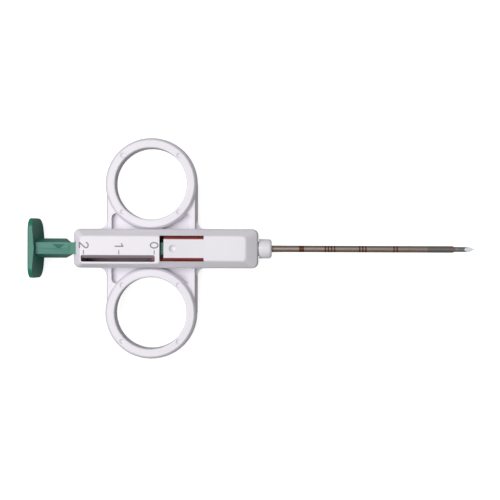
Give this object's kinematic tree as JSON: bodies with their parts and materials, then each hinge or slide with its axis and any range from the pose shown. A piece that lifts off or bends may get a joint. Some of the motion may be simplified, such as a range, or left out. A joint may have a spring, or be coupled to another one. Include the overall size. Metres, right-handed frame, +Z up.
{
  "type": "semi-automatic biopsy needle",
  "caption": "Hand-held biopsy needle with a two-ring moulded handle, thumb plunger, spring-driven cutting cannula and an inner stylet with a sample notch.",
  "frame": {"origin": "on the flat underside of the handle, below the needle axis, on the line through the ring centres", "axes": "+X along the needle towards its tip, +Y towards one finger ring, +Z up, out of the cover with the scale"},
  "size_m": [0.1414, 0.0704, 0.0135],
  "materials": {
    "pale_plastic": "moulded, satin gloss, pale grey lilac",
    "green_plastic": "moulded, satin, dark blue green",
    "red_brown_plastic": "moulded, satin, red brown",
    "hub_plastic": "moulded, matt",
    "needle_steel": "drawn stainless steel tube and rod, polished",
    "spring_steel": "drawn spring wire"
  },
  "bodies": {
    "housing": {"bottom_shell": "pale_plastic", "top_cover": "pale_plastic", "nose_bush": "pale_plastic", "drive_spring": "spring_steel"},
    "carriage": {"cannula_carriage": "red_brown_plastic", "cannula": "needle_steel", "cannula_hub": "hub_plastic"},
    "plunger": {"plunger": "green_plastic", "stylet": "needle_steel", "stylet_hub": "hub_plastic"}
  },
  "joints": [
    {"name": "plunger_slide", "type": "slide", "parent": "housing", "child": "plunger", "axis": [1, 0, 0], "range_m": [-0.022, 0.0008]},
    {"name": "carriage_slide", "type": "slide", "parent": "housing", "child": "carriage", "axis": [1, 0, 0], "range_m": [-0.022, 0], "stiffness_N_per_m": 300, "springref_m": 0.008, "deforming": ["drive_spring"]}
  ]
}
